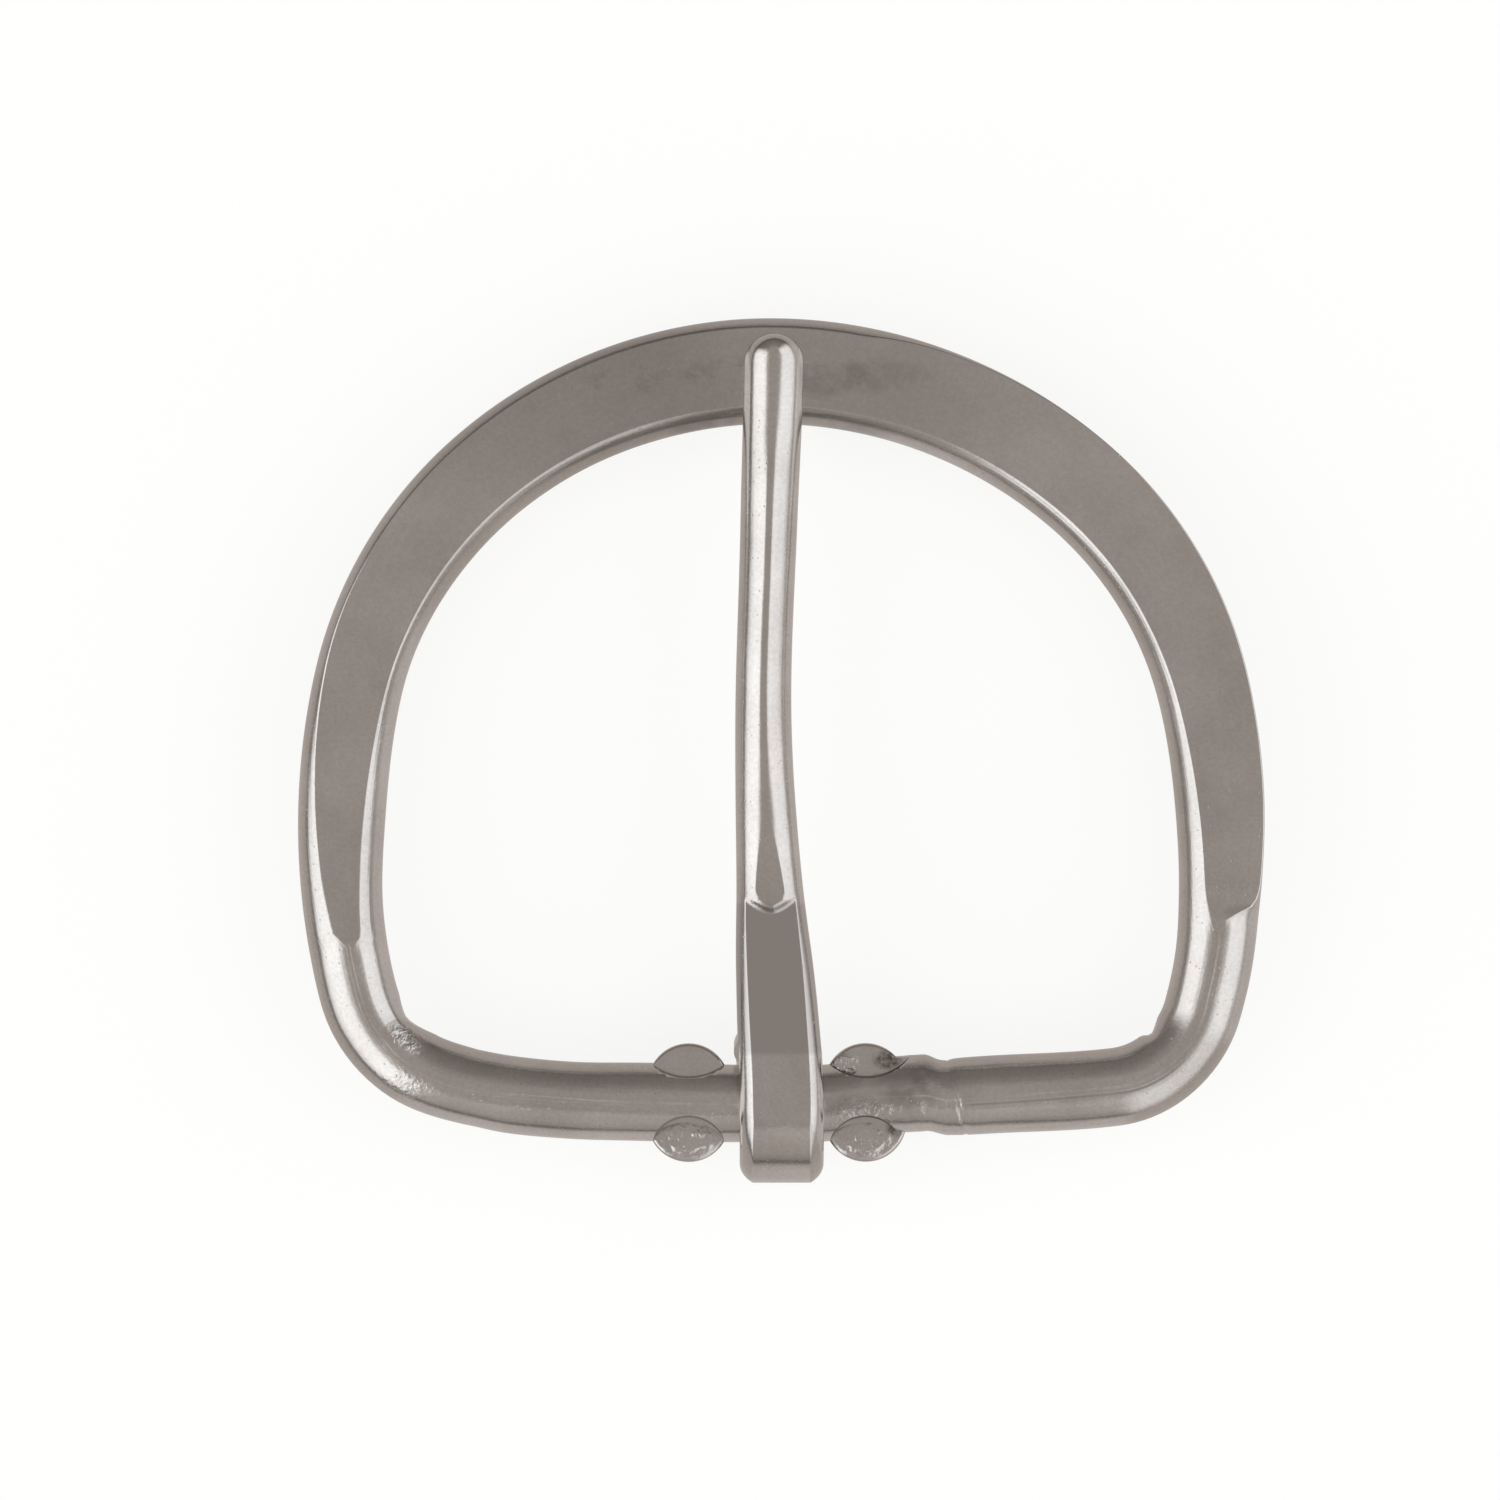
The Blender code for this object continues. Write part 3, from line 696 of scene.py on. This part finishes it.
def pressTheTongue(piece, stations):
    sides, high = tongueWire["sides"], tongueWire["wire"] / 2
    flatHeight = tongueWire["strap"] / 2
    part = sides // 6
    points = readPoints(piece)
    lengths = []
    for ring, (kind, value) in enumerate(stations):
        s = value if kind == "shank" else -(value - math.pi / 2) * ringRadius
        lengths.append(s)
        wide = softCurve(tongueWire["width"], s / mm) * mm / 2
        pressed = 1 - smooth((s - tongueWire["shoulder"] - tongueWire["shoulderHorn"])
                             / tongueWire["shoulderRun"])
        flank = softCurve(tongueWire["flank"], s / mm) * mm / 2
        full = high * (1 - pressed) + flank * pressed
        top = high - tongueWire["flatTop"] * (1 - smooth((s - tongueWire["shoulder"])
                                                         / tongueWire["flatTopRun"]))
        edge = min(forging["closed"] * full, top) * (1 - pressed) + flatHeight * pressed
        u, v = halfSection(sides, (wide, wide), full, (edge, edge), (2, 2),
                           tongueWire["edgeSoftness"])
        ridge = tongueWire["ridge"] * softCurve(tongueWire["ridgeAlong"], s / mm)
        v = v + ridge * (1 - smooth(np.abs(u) / (tongueWire["ridgeReach"] * wide)))
        if kind == "shank" and s > tongueWire["crownFrom"] and pressed > 0:
            # the crown of the round wire runs out over the strap in the middle
            flat = slice(part, 2 * part + 1)
            crown = np.minimum(full * np.sqrt(np.maximum(1 - (u[flat] / wide) ** 2, 0)), top)
            horn = np.abs(u[flat] / (tongueWire["hornAt"] * wide)) ** tongueWire["hornShape"]
            start = tongueWire["shoulder"] + tongueWire["shoulderHorn"] * horn
            die = flatHeight + (top - flatHeight) * smooth((s - start) / tongueWire["shoulderRun"])
            v[flat] = np.maximum(v[flat], np.minimum(crown, die))
        across, foldStart, foldEnd, foldHeight, foldWide = tongueWire["pinch"]
        runIn, runOut = tongueWire["pinchRuns"]
        fold = smooth((s - foldStart) / runIn) * smooth((foldEnd - s) / runOut)
        if kind == "shank" and fold > 0:
            v = v + foldHeight * fold * np.exp(-((u - across) / foldWide) ** 2)
        u, v = wholeSection(u, v)
        noseRun = s - (tongueWire["reach"] - tongueWire["nose"])
        if noseRun > 0:
            into = min(noseRun / tongueWire["nose"], 1.0)
            power, root = tongueWire["noseTop"]
            u, v = u * math.sqrt(1 - into ** 2), v * (1 - into ** power) ** (1 / root)
        block = points[ring * sides:(ring + 1) * sides]
        if kind == "ring":
            shift = tongueWire["tailShift"] * smooth((math.degrees(value) - tongueWire["shiftFrom"])
                                                     / tongueWire["shiftRun"])
            block[:, 0] = barAxis.x + shift + u
            block[:, 1] = barAxis.y + (ringRadius + v) * math.cos(value)
            block[:, 2] = barAxis.z + (ringRadius + v) * math.sin(value)
        else:
            block[:, 0] = barAxis.x + softCurve(tongueWire["bow"], s / mm) * mm + u
            block[:, 1] = barAxis.y + s
            block[:, 2] = barAxis.z + ringRadius + softCurve(tongueWire["rise"], s / mm) * mm + v
    writePoints(piece, points)
    return np.array(lengths)


def closeTheTongue(piece):
    onlySelect(piece)
    setMode("EDIT")
    bpy.ops.mesh.select_all(action="DESELECT")
    setMode("OBJECT")
    for point in piece.data.vertices[:tongueWire["sides"]]:       # the tail's cut end
        point.select = True
    setMode("EDIT")
    bpy.ops.mesh.edge_face_add()
    bpy.ops.mesh.inset(thickness=tongueWire["capRim"])
    bpy.ops.mesh.select_all(action="SELECT")
    bpy.ops.mesh.normals_make_consistent(inside=False)
    setMode("OBJECT")
    bpy.ops.object.shade_smooth_by_angle(angle=math.radians(tongueWire["smoothAngle"]))


tonguePiece, tongueStations = drawTheTongue()
tongueRuns = pressTheTongue(tonguePiece, tongueStations)
runLines(tonguePiece, tongueWire["sides"], tongueRuns, math.pi * tongueWire["wire"])
closeTheTongue(tonguePiece)
tonguePiece.data.materials.append(drawnSteel)
print("tongue wrapped:", len(tonguePiece.data.vertices), "points")


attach(dFrame, "frame")
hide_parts("frame")
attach(tonguePiece, "tongue")
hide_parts("tongue")


studio = {
    "floorSize": 3.0, "floorRoughness": 0.9, "floorShine": 0.1,
    "floorTone": "#7a7a79",        # opal acrylic, which looks grey when its lamps are off
    "glowTone": "#f3f3f2", "floorGlow": 0.925,
    "overhead": 2.2, "overheadSize": 1.6, "overheadHeight": 0.9,      # watts and metres
    "viewWidth": 77.9 * mm,        # of the camera's frame, at the bar's height
    "cameraHeight": 0.45, "cameraX": -1.64 * mm, "cameraY": 0.07 * mm,
    # A tent of white cloth. Brightness by height in degrees above the horizon: two white walls to
    # the left and right, a dimmer one at the front right, and grey in front, behind and overhead.
    "left": [(-90, 0.50), (-40, 0.50), (-12, 0.44), (-5, 0.16), (0, 0.25), (5, 0.95), (12, 1.37),
             (30, 1.50), (52, 1.52), (59, 1.24), (64, 0.6), (69, 0.40), (90, 0.39)],
    "right": [(-90, 0.52), (-30, 0.58), (-10, 0.58), (-4, 0.42), (0, 0.48), (4, 0.9), (12, 1.18),
              (50, 1.29), (57, 1.15), (62, 0.62), (67, 0.40), (90, 0.39)],
    "corner": [(-90, 0.48), (-20, 0.46), (-4, 0.42), (1, 0.48), (6, 0.78), (14, 0.92), (50, 0.98),
               (57, 0.85), (62, 0.50), (67, 0.39), (90, 0.39)],
    "front": [(-90, 0.58), (-20, 0.58), (-9, 0.50), (-4, 0.22), (-1, 0.10), (3, 0.33), (16, 0.42),
              (48, 0.48), (55, 0.44), (60, 0.33), (66, 0.385), (90, 0.39)],
    "back": [(-90, 0.45), (-25, 0.45), (-12, 0.38), (-5, 0.12), (0, 0.10), (6, 0.19), (30, 0.22),
             (45, 0.26), (55, 0.32), (65, 0.385), (90, 0.39)],
    # middle direction, half width and softness, in degrees round from +X
    "leftAt": (198.0, 42.0, 7.0), "rightAt": (0.0, 40.0, 12.0), "cornerAt": (-51.0, 25.0, 3.0),
    "wallTint": (0.985, 1.0, 1.01), "greyTint": (1.10, 1.01, 0.945),
    "greyBelow": 0.45, "whiteOver": 0.6,       # brightness where the tint starts to turn white
    "frontTurn": 0.35,                         # how softly front turns into back at the sides
    "rampTop": 2.0,                            # the brightness that a ramp's white stands for
    "backdrop": (0.95, 0.95, 0.95, 1),
}


def makeFloor():
    # Opal acrylic sheet, cast between glass and sanded: milky, even and without a reflection.
    deselectAll()
    bpy.ops.mesh.primitive_plane_add(size=studio["floorSize"], location=(0, 0, 0))
    floor = bpy.context.object
    floor.name = "lightTable"
    material = bpy.data.materials.new("opalAcrylic")
    material.use_nodes = True
    shader = material.node_tree.nodes["Principled BSDF"]
    shader.inputs["Base Color"].default_value = hexColour(studio["floorTone"])
    shader.inputs["Roughness"].default_value = studio["floorRoughness"]
    shader.inputs["Specular IOR Level"].default_value = studio["floorShine"]
    shader.inputs["Emission Color"].default_value = hexColour(studio["glowTone"])
    shader.inputs["Emission Strength"].default_value = studio["floorGlow"]
    floor.data.materials.append(material)
    floor.visible_glossy = False       # the steel sees the tent's grey bottom instead


def makeLights():
    # a wide soft light overhead for the floor; the steel shows only the tent
    data = bpy.data.lights.new("overhead", "AREA")
    data.shape = "SQUARE"
    data.size = studio["overheadSize"]
    data.energy = studio["overhead"]
    fill = bpy.data.objects.new("overhead", data)
    bpy.context.scene.collection.objects.link(fill)
    fill.location = (0, 0, studio["overheadHeight"])
    fill.visible_camera = False
    fill.visible_glossy = False


def clothColour(level):
    # the grey cloth is warmer than the lit walls
    white = min(max((level - studio["greyBelow"]) / studio["whiteOver"], 0), 1)
    tint = [grey + (wall - grey) * white
            for grey, wall in zip(studio["greyTint"], studio["wallTint"])]
    return [min(level * t / studio["rampTop"], 1.0) for t in tint] + [1.0]


def sideMask(tree, azimuth, middle, half, soft):
    # 1 within half degrees of the middle direction
    turned = addNode(tree, "Math", {"operation": "SUBTRACT", 1: math.radians(middle - 180)},
                     {0: azimuth})
    wrapped = addNode(tree, "Math", {"operation": "WRAP", 1: 2 * math.pi, 2: 0.0}, {0: turned})
    off = addNode(tree, "Math", {"operation": "SUBTRACT", 1: math.pi}, {0: wrapped})
    off = addNode(tree, "Math", {"operation": "ABSOLUTE"}, {0: off})
    return addNode(tree, "MapRange",
                   {"interpolation_type": "SMOOTHSTEP", "From Min": math.radians(half + soft),
                    "From Max": math.radians(half - soft)}, {"Value": off})


def makeWorld():
    world = bpy.data.worlds.new("lightTent")
    bpy.context.scene.world = world
    world.use_nodes = True
    tree = world.node_tree
    tree.nodes.clear()
    way = addNode(tree, "TexCoord", give="Generated")
    across = addNode(tree, "SeparateXYZ", None, {"Vector": way}, "X")
    ahead, up = across.node.outputs["Y"], across.node.outputs["Z"]
    tilt = addNode(tree, "Math", {"operation": "ARCSINE"}, {0: up})
    height = addNode(tree, "MapRange", {"From Min": -math.pi / 2, "From Max": math.pi / 2},
                     {"Value": tilt})
    azimuth = addNode(tree, "Math", {"operation": "ARCTAN2"}, {0: ahead, 1: across})
    cloth = {}
    for side in ("front", "back", "left", "right", "corner"):
        cloth[side] = addNode(tree, "ValToRGB", None, {"Fac": height})
        stops = cloth[side].node.color_ramp.elements
        while len(stops) < len(studio[side]):
            stops.new(0.5)
        for stop, (degrees, level) in zip(stops, studio[side]):
            stop.position = (degrees + 90) / 180
            stop.color = clothColour(level)
    behind = addNode(tree, "MapRange", {"From Min": -studio["frontTurn"],
                                        "From Max": studio["frontTurn"]}, {"Value": ahead})
    tent = addNode(tree, "Mix", {"data_type": "RGBA"},
                   {0: behind, 6: cloth["front"], 7: cloth["back"]}, 2)
    for side in ("left", "right", "corner"):
        mask = sideMask(tree, azimuth, *studio[side + "At"])
        tent = addNode(tree, "Mix", {"data_type": "RGBA"}, {0: mask, 6: tent, 7: cloth[side]}, 2)
    seen = addNode(tree, "Background", {"Color": studio["backdrop"]})
    lit = addNode(tree, "Background", {"Strength": studio["rampTop"]}, {"Color": tent})
    eye = addNode(tree, "LightPath", give="Is Camera Ray")
    both = addNode(tree, "MixShader", None, {0: eye, 1: lit, 2: seen})
    tree.links.new(both, tree.nodes.new("ShaderNodeOutputWorld").inputs["Surface"])


def makeCamera():
    camera = bpy.data.objects.new("camera", bpy.data.cameras.new("camera"))
    bpy.context.scene.collection.objects.link(camera)
    bpy.context.scene.camera = camera
    sensor = 36.0
    camera.data.sensor_width = sensor
    camera.data.lens = sensor * studio["cameraHeight"] / studio["viewWidth"]
    camera.data.clip_start, camera.data.clip_end = 0.01, 20
    camera.location = (studio["cameraX"], studio["cameraY"], barAxis.z + studio["cameraHeight"])
    camera.rotation_euler = (0, 0, 0)      # straight down, the arch at the top


makeFloor()
makeLights()
makeWorld()
makeCamera()
bpy.context.scene.view_settings.view_transform = "Standard"
deselectAll()
print("stage set")
